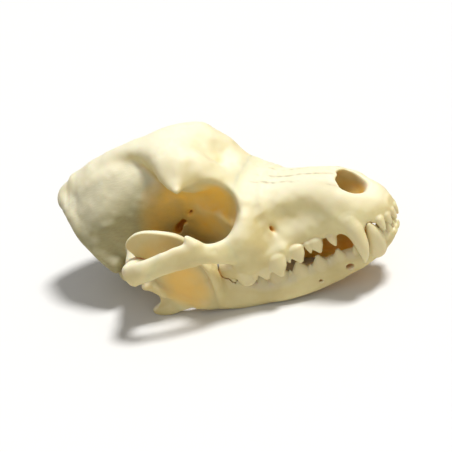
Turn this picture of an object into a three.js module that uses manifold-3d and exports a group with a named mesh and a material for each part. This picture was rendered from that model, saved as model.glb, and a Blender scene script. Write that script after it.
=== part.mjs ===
// Dog skull with its lower jaw closed, life size, in mm.
// It is shaped in the skull's own frame: x from the back of the head to the muzzle,
// y to either side of the midline, z up from the line of the upper tooth sockets.
// The whole skull is then tipped nose up, the way it rests on its lower jaw.
import * as THREE from "three";
import { triTable } from "three/addons/objects/MarchingCubes.js";
import { mergeVertices } from "three/addons/utils/BufferGeometryUtils.js";
import Module from "manifold-3d";

const NOSE_UP = THREE.MathUtils.degToRad(13); // tilt at which jaw angles and belly touch the floor
const REST_HEIGHT = -1.1; // height of the floor in the tipped skull frame
const GRID_STEP = 1.25; // spacing of the samples that the surface is drawn through
const SUTURE_GAP = 0.3; // free space between two bones
const JAW_GAP = 0.8; // free space between upper and lower jaw
const CRANIUM_FACETS = 8600;
const JAW_FACETS = 1900;
const FAR = 40;
const LEAST_DISTANCE = 0.02; // samples nearer to the surface than this are moved off it
const LEAST_TURN = 0.35; // cosine of the largest turn that thinning may give a facet
const LEAST_WIDTH = 0.04; // height of the flattest facet allowed, as a share of its longest edge
const LENGTH_COST = 1e-4; // how much long edges are kept back in thinning
const SAMPLE_BOX = [-12, 190, -63.75, 63.75, -34, 84];

const bone = (hex) => new THREE.MeshStandardMaterial({ color: hex, roughness: 0.6 });

// Smooth joins of distances.

function blendMin(a, b, k) {
  const h = Math.max(k - Math.abs(a - b), 0) / k;
  return Math.min(a, b) - h * h * k * 0.25;
}

function blendMax(a, b, k) {
  return -blendMin(-a, -b, k);
}

// A smooth curve through (x, value) stations, without overshoot.
function curve(stations) {
  const n = stations.length;
  const slope = [];
  for (let i = 0; i < n - 1; i++) {
    const [x0, v0] = stations[i];
    const [x1, v1] = stations[i + 1];
    slope.push((v1 - v0) / (x1 - x0));
  }
  const tangent = slope.map((s, i) => {
    if (i === 0) return s;
    const before = slope[i - 1];
    return before * s > 0 ? (2 * before * s) / (before + s) : 0;
  });
  tangent.push(slope[n - 2]);
  return (x) => {
    if (x <= stations[0][0]) return stations[0][1];
    if (x >= stations[n - 1][0]) return stations[n - 1][1];
    let i = 0;
    while (x > stations[i + 1][0]) i++;
    const [x0, v0] = stations[i];
    const [x1, v1] = stations[i + 1];
    const w = x1 - x0;
    const t = (x - x0) / w;
    const s = 1 - t;
    return (
      v0 * s * s * (1 + 2 * t) +
      v1 * t * t * (3 - 2 * t) +
      w * s * t * (tangent[i] * s - tangent[i + 1] * t)
    );
  };
}

// Forms: each has a box and a distance, both for the half where y is positive.

// A body drawn along x; each station is [x, top, bottom, height of the widest line, half width].
function loft(stations, roundTop, roundBottom) {
  const at = [1, 2, 3, 4].map((c) => curve(stations.map((s) => [s[0], s[c]])));
  const x0 = stations[0][0];
  const x1 = stations[stations.length - 1][0];
  const reach = (x, y, z) => {
    const mid = at[2](x);
    const above = z > mid;
    const half = above ? at[0](x) - mid : mid - at[1](x);
    const n = above ? roundTop : roundBottom;
    return (Math.abs(y / at[3](x)) ** n + Math.abs((z - mid) / half) ** n) ** (1 / n);
  };
  const distance = (x, y, z) => {
    const inside = Math.min(Math.max(x, x0), x1);
    const g = reach(inside, y, z);
    const e = 0.4;
    const gx = (reach(inside + e, y, z) - reach(inside - e, y, z)) / (2 * e);
    const gy = (reach(inside, y + e, z) - reach(inside, y - e, z)) / (2 * e);
    const gz = (reach(inside, y, z + e) - reach(inside, y, z - e)) / (2 * e);
    const d = (g - 1) / Math.max(Math.hypot(gx, gy, gz), 0.01);
    return Math.max(d, x0 - x, x - x1);
  };
  const wide = Math.max(...stations.map((s) => s[4]));
  const top = Math.max(...stations.map((s) => s[1]));
  const low = Math.min(...stations.map((s) => s[2]));
  return { box: [x0, x1, -wide, wide, low, top], distance };
}

// A bar along a smooth path; each station is [x, y, z, half height, half thickness].
// The height is measured along upright.
function bar(stations, upright = [0, 0, 1]) {
  const steps = stations.length === 2 ? 1 : (stations.length - 1) * 4;
  const last = stations.length - 1;
  const by = [0, 1, 2, 3, 4].map((c) => curve(stations.map((s, i) => [i, s[c]])));
  const points = [];
  for (let i = 0; i <= steps; i++) points.push(by.map((f) => f((i / steps) * last)));
  const distance = (x, y, z) => {
    let best = Infinity;
    let ox = 0;
    let oy = 0;
    let oz = 0;
    let high = 1;
    let thick = 1;
    for (let i = 0; i < steps; i++) {
      const p = points[i];
      const q = points[i + 1];
      const ax = q[0] - p[0];
      const ay = q[1] - p[1];
      const az = q[2] - p[2];
      const along = (x - p[0]) * ax + (y - p[1]) * ay + (z - p[2]) * az;
      const t = Math.min(Math.max(along / (ax * ax + ay * ay + az * az), 0), 1);
      const dx = x - p[0] - ax * t;
      const dy = y - p[1] - ay * t;
      const dz = z - p[2] - az * t;
      const far = dx * dx + dy * dy + dz * dz;
      if (far >= best) continue;
      best = far;
      ox = dx;
      oy = dy;
      oz = dz;
      high = p[3] + (q[3] - p[3]) * t;
      thick = p[4] + (q[4] - p[4]) * t;
    }
    const up = ox * upright[0] + oy * upright[1] + oz * upright[2];
    const side = Math.sqrt(Math.max(best - up * up, 0));
    const g = Math.hypot(up / high, side / thick);
    const slope = Math.hypot(up / (high * high), side / (thick * thick));
    return slope > 1e-6 ? (g * (g - 1)) / slope : -Math.min(high, thick);
  };
  return { box: boxAround(points, Math.max(...points.map((p) => Math.max(p[3], p[4])))), distance };
}

function boxAround(points, margin) {
  const range = (c) => {
    const all = points.map((p) => p[c]);
    return [Math.min(...all) - margin, Math.max(...all) + margin];
  };
  return [...range(0), ...range(1), ...range(2)];
}

function ellipsoid(centre, radii) {
  const distance = (x, y, z) => {
    const dx = x - centre[0];
    const dy = y - centre[1];
    const dz = z - centre[2];
    const g = Math.hypot(dx / radii[0], dy / radii[1], dz / radii[2]);
    const slope = Math.hypot(dx / radii[0] ** 2, dy / radii[1] ** 2, dz / radii[2] ** 2);
    return slope > 1e-6 ? (g * (g - 1)) / slope : -Math.min(...radii);
  };
  const box = [0, 1, 2].flatMap((c) => [centre[c] - radii[c], centre[c] + radii[c]]);
  return { box, distance };
}

// A sheet of bone with a side-view outline of (x, z) corners, lying at y = middle(x, z).
function sheet(corners, middle, thickness, rounding = 1) {
  const path = new THREE.CatmullRomCurve3(
    corners.map(([x, z]) => new THREE.Vector3(x, 0, z)), true, "centripetal");
  const points = path.getPoints(corners.length * 3).slice(0, -1);
  const outline = (x, z) => {
    let best = Infinity;
    let inside = false;
    for (let i = 0, j = points.length - 1; i < points.length; j = i++) {
      const p = points[i];
      const q = points[j];
      const ex = q.x - p.x;
      const ez = q.z - p.z;
      const along = ((x - p.x) * ex + (z - p.z) * ez) / (ex * ex + ez * ez);
      const t = Math.min(Math.max(along, 0), 1);
      best = Math.min(best, (x - p.x - ex * t) ** 2 + (z - p.z - ez * t) ** 2);
      if (p.z > z !== q.z > z && x < p.x + (ex * (z - p.z)) / ez) inside = !inside;
    }
    return inside ? -Math.sqrt(best) : Math.sqrt(best);
  };
  const distance = (x, y, z) => {
    const a = outline(x, z) + rounding;
    const b = Math.abs(y - middle(x, z)) - thickness(x, z) / 2 + rounding;
    return Math.min(Math.max(a, b), 0) + Math.hypot(Math.max(a, 0), Math.max(b, 0)) - rounding;
  };
  const flat = points.map((p) => [p.x, middle(p.x, p.z), p.z]);
  return { box: boxAround(flat, Math.max(...points.map((p) => thickness(p.x, p.z)))), distance };
}

// A block of samples of the distance to the bone.

class Samples {
  constructor(box) {
    this.low = [box[0], box[2], box[4]];
    this.count = [0, 1, 2].map((c) => Math.ceil((box[2 * c + 1] - box[2 * c]) / GRID_STEP) + 1);
    this.values = new Float32Array(this.count[0] * this.count[1] * this.count[2]).fill(FAR);
  }

  // Both sides of the midline get the form, because its distance is asked for |y|.
  visit(form, margin, combine) {
    const [nx, ny, nz] = this.count;
    const range = (c, a, b) => [
      Math.max(Math.floor((a - margin - this.low[c]) / GRID_STEP), 0),
      Math.min(Math.ceil((b + margin - this.low[c]) / GRID_STEP), this.count[c] - 1),
    ];
    const box = form.box;
    const [i0, i1] = range(0, box[0], box[1]);
    const [k0, k1] = range(2, box[4], box[5]);
    for (let j = 0; j < ny; j++) {
      const y = Math.abs(this.low[1] + j * GRID_STEP);
      if (y < box[2] - margin || y > box[3] + margin) continue;
      for (let k = k0; k <= k1; k++) {
        const z = this.low[2] + k * GRID_STEP;
        for (let i = i0; i <= i1; i++) {
          const x = this.low[0] + i * GRID_STEP;
          const at = i + nx * (j + ny * k);
          this.values[at] = combine(this.values[at], form.distance(x, y, z));
        }
      }
    }
  }

  add(form, blend = 3) {
    this.visit(form, blend + 2, (old, d) => blendMin(old, d, blend));
  }

  carve(form, blend = 2) {
    this.visit(form, blend + 2, (old, d) => blendMax(old, -d, blend));
  }

  clear(other, gap) {
    this.values = this.values.map((v, i) => Math.max(v, gap - other.values[i]));
  }

  cut(distance) {
    const everywhere = { box: [-FAR, 300, -300, 300, -100, 200], distance };
    this.visit(everywhere, 0, (old, d) => Math.max(old, d));
  }

  // Triangles of the surface where the distance is zero.
  surface() {
    const [nx, ny, nz] = this.count;
    const corner = [0, 1, nx + 1, nx, nx * ny, nx * ny + 1, nx * ny + nx + 1, nx * ny + nx];
    const ends = [[0, 1], [1, 2], [3, 2], [0, 3], [4, 5], [5, 6], [7, 6], [4, 7],
      [0, 4], [1, 5], [2, 6], [3, 7]];
    const axis = [0, 1, 0, 1, 0, 1, 0, 1, 2, 2, 2, 2];
    const values = this.values.map((v) =>
      Math.abs(v) < LEAST_DISTANCE ? LEAST_DISTANCE * (v < 0 ? -1 : 1) : v);
    const known = new Map();
    const points = [];
    const faces = [];
    const pointOn = (cell, edge) => {
      const a = cell + corner[ends[edge][0]];
      const b = cell + corner[ends[edge][1]];
      const key = a * 3 + axis[edge];
      if (known.has(key)) return known.get(key);
      const t = values[a] / (values[a] - values[b]);
      const at = [a % nx, Math.floor(a / nx) % ny, Math.floor(a / (nx * ny))];
      at[axis[edge]] += t;
      points.push(at.map((v, c) => this.low[c] + v * GRID_STEP));
      known.set(key, points.length - 1);
      return points.length - 1;
    };
    for (let k = 0; k < nz - 1; k++)
      for (let j = 0; j < ny - 1; j++)
        for (let i = 0; i < nx - 1; i++) {
          const cell = i + nx * (j + ny * k);
          let bits = 0;
          for (let c = 0; c < 8; c++) if (values[cell + corner[c]] < 0) bits |= 1 << c;
          if (bits === 0 || bits === 255) continue;
          for (let t = bits * 16; triTable[t] !== -1; t += 3)
            faces.push([0, 2, 1].map((c) => pointOn(cell, triTable[t + c])));
        }
    return largestShell(points, faces);
  }
}

// Keeps the largest closed surface of a mesh.
function largestShell(points, faces) {
  const parent = points.map((_, i) => i);
  const root = (i) => {
    while (parent[i] !== i) i = parent[i] = parent[parent[i]];
    return i;
  };
  for (const [a, b, c] of faces) {
    parent[root(a)] = root(b);
    parent[root(b)] = root(c);
  }
  const size = new Map();
  for (const f of faces) size.set(root(f[0]), (size.get(root(f[0])) ?? 0) + 1);
  const [largest] = [...size].reduce((a, b) => (b[1] > a[1] ? b : a));
  return { points, faces: faces.filter((f) => root(f[0]) === largest) };
}

// Thinning a mesh: flat places lose their edges first.

class Queue {
  constructor() {
    this.items = [];
  }
  push(item) {
    const a = this.items;
    let i = a.push(item) - 1;
    while (i > 0) {
      const up = (i - 1) >> 1;
      if (a[up].cost <= item.cost) break;
      a[i] = a[up];
      i = up;
    }
    a[i] = item;
  }
  pop() {
    const a = this.items;
    const top = a[0];
    const item = a.pop();
    if (a.length === 0) return top;
    let i = 0;
    for (;;) {
      let next = 2 * i + 1;
      if (next >= a.length) break;
      if (next + 1 < a.length && a[next + 1].cost < a[next].cost) next++;
      if (a[next].cost >= item.cost) break;
      a[i] = a[next];
      i = next;
    }
    a[i] = item;
    return top;
  }
}

const minus = (a, b) => [a[0] - b[0], a[1] - b[1], a[2] - b[2]];
const dot = (a, b) => a[0] * b[0] + a[1] * b[1] + a[2] * b[2];
const cross = (a, b) => [
  a[1] * b[2] - a[2] * b[1],
  a[2] * b[0] - a[0] * b[2],
  a[0] * b[1] - a[1] * b[0],
];
const normalOf = (p, q, r) => cross(minus(q, p), minus(r, p));

function thin({ points, faces }, target) {
  const around = points.map(() => new Set());
  faces.forEach((f, i) => f.forEach((v) => around[v].add(i)));
  const quadric = points.map(() => new Float64Array(10));
  for (const [a, b, c] of faces) {
    const n = normalOf(points[a], points[b], points[c]);
    const area = Math.hypot(...n);
    if (area < 1e-9) continue;
    const [x, y, z] = n.map((v) => v / area);
    const w = -dot([x, y, z], points[a]);
    const terms = [x * x, x * y, x * z, x * w, y * y, y * z, y * w, z * z, z * w, w * w];
    for (const v of [a, b, c]) terms.forEach((t, i) => (quadric[v][i] += t * area));
  }
  const error = (q, [x, y, z]) =>
    q[0] * x * x + 2 * q[1] * x * y + 2 * q[2] * x * z + 2 * q[3] * x + q[4] * y * y +
    2 * q[5] * y * z + 2 * q[6] * y + q[7] * z * z + 2 * q[8] * z + q[9];
  const bestPoint = (q, a, b) => {
    const middle = a.map((v, i) => (v + b[i]) / 2);
    const rows = [[q[0], q[1], q[2]], [q[1], q[4], q[5]], [q[2], q[5], q[7]]];
    const right = [-q[3], -q[6], -q[8]];
    const det = dot(rows[0], cross(rows[1], rows[2]));
    const size = q[0] + q[4] + q[7];
    const options = [middle, a, b];
    if (Math.abs(det) > 1e-4 * size ** 3) {
      const solve = (c) => {
        const m = rows.map((r, i) => r.map((v, j) => (j === c ? right[i] : v)));
        return dot(m[0], cross(m[1], m[2])) / det;
      };
      const p = [solve(0), solve(1), solve(2)];
      if (Math.hypot(...minus(p, middle)) < 2 * Math.hypot(...minus(a, b))) options.unshift(p);
    }
    return options.reduce((p, o) => (error(q, o) < error(q, p) ? o : p));
  };
  const stamp = new Int32Array(points.length);
  const queue = new Queue();
  const propose = (a, b) => {
    const q = quadric[a].map((v, i) => v + quadric[b][i]);
    const point = bestPoint(q, points[a], points[b]);
    const length = Math.hypot(...minus(points[a], points[b]));
    const cost = Math.max(error(q, point), 0) + LENGTH_COST * length * length;
    queue.push({ cost, a, b, point, sa: stamp[a], sb: stamp[b] });
  };
  for (const [a, b, c] of faces)
    for (const [u, v] of [[a, b], [b, c], [c, a]]) if (u < v) propose(u, v);
  const ring = (v) => {
    const out = new Set();
    for (const i of around[v]) for (const u of faces[i]) if (u !== v) out.add(u);
    return out;
  };
  const turns = (v, other, point) => {
    for (const i of around[v]) {
      if (faces[i].includes(other)) continue;
      const corners = faces[i].map((u) => points[u]);
      const moved = faces[i].map((u) => (u === v ? point : points[u]));
      const before = normalOf(...corners);
      const after = normalOf(...moved);
      const size = Math.hypot(...after);
      if (dot(before, after) < LEAST_TURN * Math.hypot(...before) * size) return true;
      const longest = Math.max(...[0, 1, 2].map((s) =>
        Math.hypot(...minus(moved[s], moved[(s + 1) % 3]))));
      if (size < LEAST_WIDTH * longest * longest) return true;
    }
    return false;
  };
  let left = faces.length;
  while (left > target && queue.items.length) {
    const { a, b, point, sa, sb } = queue.pop();
    if (stamp[a] !== sa || stamp[b] !== sb || !around[a].size || !around[b].size) continue;
    const ringA = ring(a);
    if (!ringA.has(b)) continue;
    const shared = [...ring(b)].filter((v) => ringA.has(v));
    if (shared.length !== 2 || turns(a, b, point) || turns(b, a, point)) continue;
    points[a] = point;
    quadric[b].forEach((v, i) => (quadric[a][i] += v));
    for (const i of [...around[b]]) {
      if (faces[i].includes(a)) {
        for (const u of faces[i]) around[u].delete(i);
        faces[i] = null;
        left--;
      } else {
        faces[i] = faces[i].map((u) => (u === b ? a : u));
        around[a].add(i);
        around[b].delete(i);
      }
    }
    stamp[a]++;
    stamp[b]++;
    for (const v of ring(a)) propose(a, v);
  }
  return { points, faces: faces.filter(Boolean) };
}

// The cranium.

const vault = loft([
  [5, 52, 24, 36, 13], [12, 62, 15, 37, 22], [21, 67, 12, 39, 27.5], [32, 70.5, 12, 40, 29],
  [45, 73, 12.5, 41, 26], [58, 72, 13.5, 42, 22.5], [70, 67, 16, 44, 19.5], [84, 60, 20, 45, 16]], 2, 2.4);

const forehead = loft([
  [38, 73.5, 66, 71, 1.5], [46, 75.6, 64, 73, 3.4], [54, 78, 60, 75, 6.5], [60, 79.4, 55, 73.5, 9],
  [68.5, 79.8, 50, 69, 15.5], [75, 79.4, 46, 64.5, 22.5], [81, 78.4, 44, 60, 27.5], [89, 76.5, 42, 58, 27.5],
  [97, 71.6, 40, 54, 23.5], [103, 63, 38, 50, 21.5], [109, 51, 34, 42, 20.5], [114, 41.4, 30, 36, 19],
  [120, 36, 27, 31, 16]], 2.3, 1.5);
const foreheadGroove = bar([
  [74, 0, 92, 5, 7], [84, 0, 87, 7.5, 10], [91, 0, 82, 7.5, 11], [98, 0, 75, 7, 11], [108, 0, 59, 6, 9]]);
const browTip = bar([[79, 22, 62, 4, 5], [84.6, 27.6, 60, 3.4, 4.8], [86.6, 31.2, 58.6, 2.5, 3]]);
const temporalHollow = bar([[62, 25, 66, 4, 4], [70, 29, 57, 7, 7], [78, 34, 49, 8, 9]]);

const muzzle = loft([
  [70, 58, 15, 36, 15], [84, 58, 8, 34, 16], [96, 54, 3, 26, 19.5], [104, 47, 1, 17, 24.5],
  [111, 42.6, 0.5, 11, 28.6], [120, 39.6, 0.5, 8, 27], [130, 37.6, 0.5, 8, 23.2], [141, 36, 0.5, 8, 20.4],
  [152, 34, 0.5, 8, 18.8], [160, 31.6, 0.5, 8, 18.8], [167, 26.5, 0.5, 7, 18], [174, 19.5, 0.5, 6, 14.8],
  [180, 15, 0.5, 5.5, 10], [184.6, 9, 2, 5, 4.5]], 2.4, 3.5);
const nasalGroove = bar([[122, 0, 42.6, 2.2, 3.5], [132, 0, 39.6, 2.5, 3.5], [162, 0, 34, 2.5, 3.5]]);
const lacrimal = bar([[110, 16, 32, 6, 6], [112, 24.5, 27, 7, 6], [110, 30, 20, 8, 6]]);
const nasalTip = bar([[148, 5, 31, 2.5, 3], [160, 6.6, 28.6, 2, 2.5], [167.6, 7.8, 25.8, 1.2, 1.3]]);
const nasalPassage = bar([
  [128, 3, 18, 8, 5], [150, 3, 18, 9.5, 6.5], [163, 2.5, 20, 9, 6.8],
  [170, 1.5, 23.5, 8.5, 6.8], [177, 0, 30.5, 8, 6.8], [188, 0, 39, 8, 6.8]]);
const palateHollow = bar([
  [86, 2, -1, 3.5, 13], [110, 2, -1.5, 4, 15], [150, 2, -1.5, 3.5, 10], [174, 1, -1.5, 3, 7]]);
const cheekHollow = ellipsoid([141, 28, 22], [16, 11.5, 9]);
const toothRowWall = bar([
  [90, 29, 4, 6, 5], [100, 31.5, 3.6, 6, 5], [112, 29.4, 3.6, 5, 4.6], [125, 24.5, 4.6, 5, 3.5]]);
const caninePillar = bar([[165, 15.8, 2, 4, 4.6], [159, 14.5, 13, 4, 4.2], [152, 12, 21, 3, 3.5]], [1, 0, 0]);
const infraorbitalHole = bar([[131, 26.6, 16.5, 3.8, 1.3], [121, 20, 18.5, 3, 1.2]]);

const orbitAxis = [0.603, 0.744, 0.287]; // the way the eye socket faces
const orbitCentre = [98.9, 31, 43];
const orbitAt = (depth, r) => [...orbitCentre.map((v, i) => v + orbitAxis[i] * depth), r, r];
const orbit = bar([orbitAt(-8.5, 10), orbitAt(0, 16.6), orbitAt(10, 17.6), orbitAt(26, 20)]);
const orbitPocket = ellipsoid([102, 24, 40], [8.5, 9, 13]);

const arch = bar([
  [114, 27, 14, 11, 5], [106, 34, 17, 11.5, 4.4], [98, 40, 21, 9.6, 3.6], [89, 46, 26.4, 8.8, 3],
  [80, 50.5, 28.6, 7.6, 2.8], [70, 53.7, 29, 6.9, 3], [60, 56, 28.3, 7.2, 3.2], [51, 56, 26.8, 7.6, 3.6],
  [47.5, 49, 26, 6, 5], [47.5, 41, 24.6, 5, 8], [46, 30, 25, 6, 10]]);
const jugalHorn = bar([[90, 45, 31, 3.5, 3], [87.2, 45, 37, 2, 1.8]]);
const jawSocket = bar([[47, 28, 13, 5.8, 6.2], [48.5, 49, 13, 5.8, 6.2]]);
const socketHook = bar([[41.5, 29, 18, 5, 3.5], [42, 36, 17.5, 4, 3]]);

const CREST_THICK = 2.6;
const crestRoot = bar([[1, 2, 53, 4, 5], [9, 2, 58, 5, 7], [22, 2, 63, 5, 8], [36, 2, 67, 4, 8]]);
const crestTop = curve([[-5, 55], [-1.5, 60], [6.5, 66], [17, 69.4], [35, 73.8], [48, 75.9], [58, 76]]);
const crestUpper = [0, 10, 20, 34, 48].map((x) => [x, crestTop(x)]);
const crestLower = [[58, 74], [52, 64], [25, 56], [8, 46], [2, 42], [-2, 48]];
const sagittalCrest = sheet(
  [[-5.6, 54], [-3.6, 57.6], ...crestUpper, ...crestLower], () => 0, () => CREST_THICK, 1.2);
const neckCrest = bar([
  [-3.6, 0, 56.5, 3, 2.4], [1, 8, 55.5, 2.8, 2.4], [6.6, 16, 50.5, 2.8, 2.4], [10.6, 20, 43, 3, 2.6],
  [15.2, 23.6, 34, 3.2, 2.6], [20.5, 27.4, 27, 4, 3.2], [25, 28.8, 21, 5, 4]]);
const occipital = loft([
  [1, 56, 32, 44, 9], [6, 57, 20, 40, 17.5], [11, 59, 14, 37, 22], [18, 61, 12, 35, 26],
  [26, 61, 12, 34, 26.5]], 2, 2.4);
const occipitalCondyle = bar([
  [11, 6.5, 13.5, 4, 4.5], [10.5, 11.5, 19, 5.5, 4.5], [13, 13, 24, 4, 4]], [0.3, 0, 0.95]);
const spinalOpening = bar([[-6, 2, 23, 7, 6.5], [14, 2, 22, 6.5, 6]]);
const earCapsule = ellipsoid([30, 18.5, 9.5], [12, 8.5, 8]);
const neckProcess = bar([[22, 20, 14, 4, 4], [21, 20.5, 6.5, 2.5, 2.5]], [1, 0, 0]);
const earHole = bar([[31, 24, 17, 2.6, 2.6], [31, 36, 18, 3, 3]]);
const skullBase = bar([[8, 2, 16, 4, 10], [40, 2, 15.5, 4, 9], [72, 2, 17, 4, 8]]);
const pterygoid = bar([[60, 10.5, 10, 4.5, 1.6], [72, 11, 9, 7, 1.8], [86, 12, 8, 7, 2.5]]);
const throat = bar([[52, 3, 7, 6, 6.5], [84, 3, 9, 5.5, 6.5], [92, 3, 10, 4, 5]]);

// A pointed crown from its neck to its tip; length is measured along the tooth row.
const crown = (neck, tip, length, width, along = [0.97, -0.24, 0]) =>
  bar([
    [...neck, length / 2, width / 2],
    [...neck.map((v, i) => (v + tip[i]) / 2), length * 0.42, width * 0.42],
    [...tip, length * 0.17, width * 0.25],
  ], along);

const upperTeeth = [
  crown([183.6, 2.4, 2], [184.2, 2.4, -2.8], 4, 4.4, [0.2, 0.98, 0]),
  crown([181.8, 6.4, 2], [182.2, 6.6, -2.8], 4.2, 4.6, [0.6, 0.8, 0]),
  crown([178.8, 10.2, 2.6], [179.4, 10.8, -3.2], 5, 5, [0.85, 0.5, 0]),
  bar([
    [164.5, 15.6, 9, 5.4, 4.2], [166.4, 17.4, 3.5, 5, 4], [167.2, 18.6, -4.5, 4.1, 3.5],
    [166.6, 19.2, -11, 2.7, 2.4], [164.9, 19.4, -16, 1, 0.9]], [0.98, 0.15, 0.1]),
  crown([152, 17.6, 3], [152.4, 18, -2.4], 5.6, 4.2),
  crown([142.2, 19.4, 3], [142.8, 20, -3.2], 9.2, 4.6),
  crown([130.6, 22.8, 3], [131.4, 23.8, -4.4], 11.6, 5.2),
  crown([120.4, 28.4, 3], [121, 30, -6.4], 12.6, 6.8),
  crown([112.4, 30.4, 2], [112.6, 31.2, -5.6], 12, 6.4),
  crown([106.4, 31, 2], [106.2, 31.6, -4.6], 7, 5.6),
  bar([[101.2, 31, 2, 6.4, 6], [101, 32.2, -5, 5, 3]], [1, 0, 0]),
  bar([[101.5, 24, 3, 5, 5], [101.5, 23.5, -2.5, 3.8, 3.5]], [1, 0, 0]),
  bar([[92.5, 27.5, 3, 3.5, 6], [92.5, 27.5, -2.5, 2.6, 5]], [1, 0, 0]),
];

// The lower jaw.

const jawMiddle = curve([
  [40, 38], [66, 36.6], [84, 32], [95, 28.4], [105, 26], [115, 23.8], [125, 20.8],
  [135, 17.4], [145, 14.2], [155, 10.6], [165, 7.6], [175, 4.4], [183, 2.2]]);
const jawTop = curve([
  [78, 0], [90, -3], [100, -8], [108, -11.4], [117, -12.4], [128, -11.6], [140, -11.2], [150, -10.8],
  [160, -12], [170, -12], [178, -9], [182, -8]]);
const jawLow = curve([
  [66, -10.6], [75, -15], [84, -19.8], [92, -22.8], [102, -24.6], [113, -26.2],
  [130, -27.6], [144, -26.8], [154, -25.4], [166, -22.2], [176, -17], [182, -11.5]]);
const jawHalf = curve([[66, 3.6], [90, 5], [115, 5.4], [145, 5], [160, 5.2], [175, 4.6], [183, 2.4]]);
const JAW_BODY = { rear: 68, front: 182, roundness: 2.3 };

function jawBodyForm() {
  const { rear, front, roundness } = JAW_BODY;
  const distance = (x, y, z) => {
    const inside = Math.min(Math.max(x, rear), front);
    const mid = (jawTop(inside) + jawLow(inside)) / 2;
    const half = (jawTop(inside) - jawLow(inside)) / 2;
    const u = Math.abs(y - jawMiddle(inside)) / jawHalf(inside);
    const v = Math.abs(z - mid) / half;
    const g = (u ** roundness + v ** roundness) ** (1 / roundness);
    const slope = Math.hypot(u / jawHalf(inside), v / half) / Math.max(g, 0.05);
    return Math.max((g - 1) / Math.max(slope, 0.08), x - front, rear - x);
  };
  return { box: [rear, front, 0, jawMiddle(rear) + jawHalf(rear), -30, 1], distance };
}

const RAMUS = { foot: -8, leanOut: 0.075, thick: 4.2, thinning: 0.025 }; // lean and thinning per mm of height
const ramus = sheet([
  [104, -18], [101, -11], [95.5, -5], [91, 2], [88, 10], [84, 22], [79, 33.5], [73, 39.5],
  [66, 43.3], [60, 44.8], [54, 44.2], [48.5, 41.2], [46.6, 37.5], [48.8, 31], [50, 24], [50, 17],
  [47, 12], [48.6, 4], [48.2, -1], [45, -4.4], [41.2, -7], [43, -10.6], [47.5, -12.6], [54, -12.4],
  [62, -11.6], [68, -12.2], [76, -14.6], [86, -17.5], [97, -19.5]],
(x, z) => jawMiddle(x) + RAMUS.leanOut * (z - RAMUS.foot), (x, z) => RAMUS.thick - RAMUS.thinning * z);
const ramusRidge = bar([
  [81, 34.6, -13, 2.6, 3.2], [84.5, 36.6, -3, 2.8, 3.8], [86, 37.8, 8, 2.4, 3.2],
  [83, 38.4, 19, 1.4, 1.4]], [1, 0, 0]);
const condyleCrest = bar([
  [51, 42.4, 9, 3, 3.2], [57.5, 41.8, 1, 2.6, 3], [65.5, 39.6, -5.5, 2.6, 2.8], [75, 36.6, -12, 2.6, 2.6]]);
const masseterHollow = ellipsoid([70, 43.4, 5], [15, 5.4, 16]);
const condyle = bar([[47, 27.5, 12.2, 3.6, 4], [48.2, 37, 12.8, 4, 4.2], [48.6, 44.4, 12.6, 2.8, 3.2]]);
const angularHook = bar([[52, 37.5, -8, 3.6, 3], [46, 37.6, -9.4, 2.8, 2.6], [41.6, 38.4, -8.2, 1.8, 1.8]]);

const lowerCanine = bar([
  [169.5, 8.8, -16, 5.4, 4.8], [172, 11, -9, 5.1, 4.4], [173.5, 12.6, -2.4, 3.8, 3.5],
  [173.4, 13.6, 2.6, 1.7, 1.6]], [0.93, -0.3, 0.2]);
const lowerTeeth = [
  crown([180, 1.6, -10], [180.6, 1.7, -2.5], 3, 4, [0, 1, 0]),
  crown([178.8, 4.4, -10], [179.4, 4.8, -2.5], 3.6, 4.4, [0.3, 0.95, 0]),
  crown([176, 6.8, -11], [176.6, 7.4, -3], 4.2, 4.6, [0.6, 0.8, 0]),
  crown([158.8, 12.2, -14], [159.3, 12.6, -9], 4, 3.4),
  crown([149.4, 14.6, -14], [150, 15, -8.2], 9, 4.8),
  crown([138.4, 18.2, -15.5], [139, 18.4, -7.6], 11, 5.4),
  crown([127.2, 21.4, -15.5], [127.8, 21.4, -7], 12, 6),
  crown([115.5, 24.4, -15], [114.5, 23.6, -1], 13, 6.6),
  crown([105.5, 26.4, -14], [105.5, 25.6, -7], 9, 6.4),
  crown([97, 28.6, -12], [97, 28, -6.5], 8, 6),
];
const innerSwelling = bar([
  [98, 21, -20.5, 4, 4.5], [122, 15, -23, 4, 4.5], [140, 10.6, -23, 3.8, 4.2], [155, 6.6, -21, 3, 3.5]]);
const chinHole = bar([[154.5, 18, -19.6, 1.7, 2.2], [152, 12.5, -19.2, 1.5, 2]]);

// The block that parts a cheekbone from the skull, as outlines of (x, y) at its foot and at its top.
const cheekBlock = {
  low: [[112, 48], [101.5, 33.5], [95, 37], [46, 41], [46, 66], [112, 66]],
  high: [[112, 48], [101.5, 33.5], [95, 37], [92, 41], [92, 66], [112, 66]],
  foot: 9,
  top: 56,
  middle: [86, 48],
  grown: 1.012, // leaves a thin gap around the cheekbone
};

// The plane between braincase and snout, from the root of the nose to behind the molars.
const faceCut = {
  through: [97, 0, 22],
  lean: Math.atan2(26, 44),
  wide: 62,
  high: 130,
};

// Building the bones.

const wasm = await Module();
wasm.setup();

function solid({ points, faces }) {
  const used = new Map();
  for (const v of faces.flat()) if (!used.has(v)) used.set(v, used.size);
  return new wasm.Manifold(new wasm.Mesh({
    numProp: 3,
    vertProperties: new Float32Array([...used.keys()].flatMap((v) => points[v])),
    triVerts: new Uint32Array(faces.flat().map((v) => used.get(v))),
  }));
}

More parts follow.
